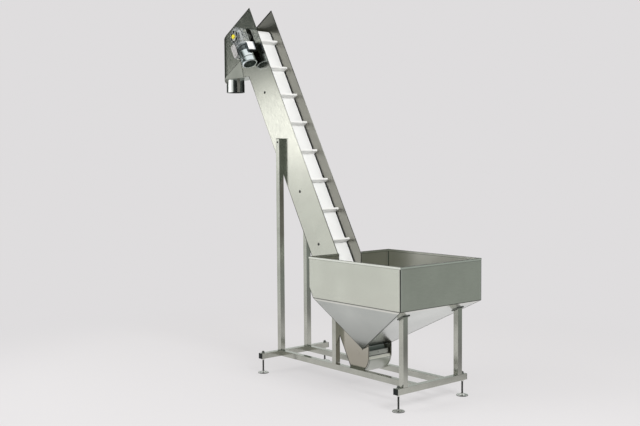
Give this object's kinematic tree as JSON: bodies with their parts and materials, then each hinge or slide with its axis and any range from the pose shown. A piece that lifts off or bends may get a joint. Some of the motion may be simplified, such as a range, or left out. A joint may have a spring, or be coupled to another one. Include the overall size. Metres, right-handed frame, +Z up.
{
  "type": "inclined bucket elevator",
  "caption": "Inclined food-grade bucket elevator: floor hopper, open casing with a scooped white belt, head drive and a round rear discharge spout on a tube frame with levelling feet",
  "frame": {"origin": "Middle of the outline on the floor, at floor level", "axes": "+Z up, +X towards the hopper end, -Y towards the drive side"},
  "size_m": [2.9066, 0.945, 3.44],
  "materials": {
    "frame_steel": "satin stainless square tube with ground welds",
    "sheet_steel": "satin stainless sheet, softly reflective",
    "shaft_steel": "turned steel",
    "foot_metal": "bright plated",
    "rod_metal": "black threaded rod",
    "black_plastic": "moulded end caps",
    "white_belt": "smooth white food-grade belt",
    "white_scoop": "white moulded scoops",
    "bearing_housing": "painted cast flange bearing",
    "gear_housing": "grey gear unit housing",
    "motor_housing": "silver-grey motor paint",
    "box_paint": "light grey terminal box",
    "yellow_plastic": "yellow shaft cover"
  },
  "bodies": {
    "root": {"front_cross_tube": "frame_steel", "rear_cross_tube": "frame_steel", "side_rails": "frame_steel", "tall_posts": "frame_steel", "front_hopper_posts": "frame_steel", "rear_hopper_posts": "frame_steel", "saddle_plates": "frame_steel", "tube_caps": "black_plastic", "foot_pads": "foot_metal", "foot_rods": "rod_metal", "foot_nuts": "foot_metal", "hopper_near_wall": "sheet_steel", "hopper_far_wall": "sheet_steel", "hopper_front_wall": "sheet_steel", "hopper_rear_wall": "sheet_steel", "near_slope": "sheet_steel", "far_slope": "sheet_steel", "front_slope": "sheet_steel", "rear_slopes": "sheet_steel", "casing_near_plate": "sheet_steel", "casing_far_plate": "sheet_steel", "casing_back_cover": "sheet_steel", "slider_bed": "sheet_steel", "tie_bars": "frame_steel", "belt": "white_belt", "scoops_carrying": "white_scoop", "scoops_on_drums": "white_scoop", "scoops_return": "white_scoop", "head_drum": "shaft_steel", "boot_drum": "shaft_steel", "drum_shafts": "shaft_steel", "head_bearing": "bearing_housing", "boot_nose": "sheet_steel", "cleanout_strip": "sheet_steel", "head_rear_wall": "sheet_steel", "head_hood": "sheet_steel", "chute_transition": "sheet_steel", "chute_rear_floor": "sheet_steel", "chute_floor": "sheet_steel", "discharge_spout": "sheet_steel", "gear_unit": "gear_housing", "shaft_cover": "yellow_plastic", "drive_motor": "motor_housing", "fan_cover": "motor_housing", "terminal_box": "box_paint"}
  },
  "joints": []
}
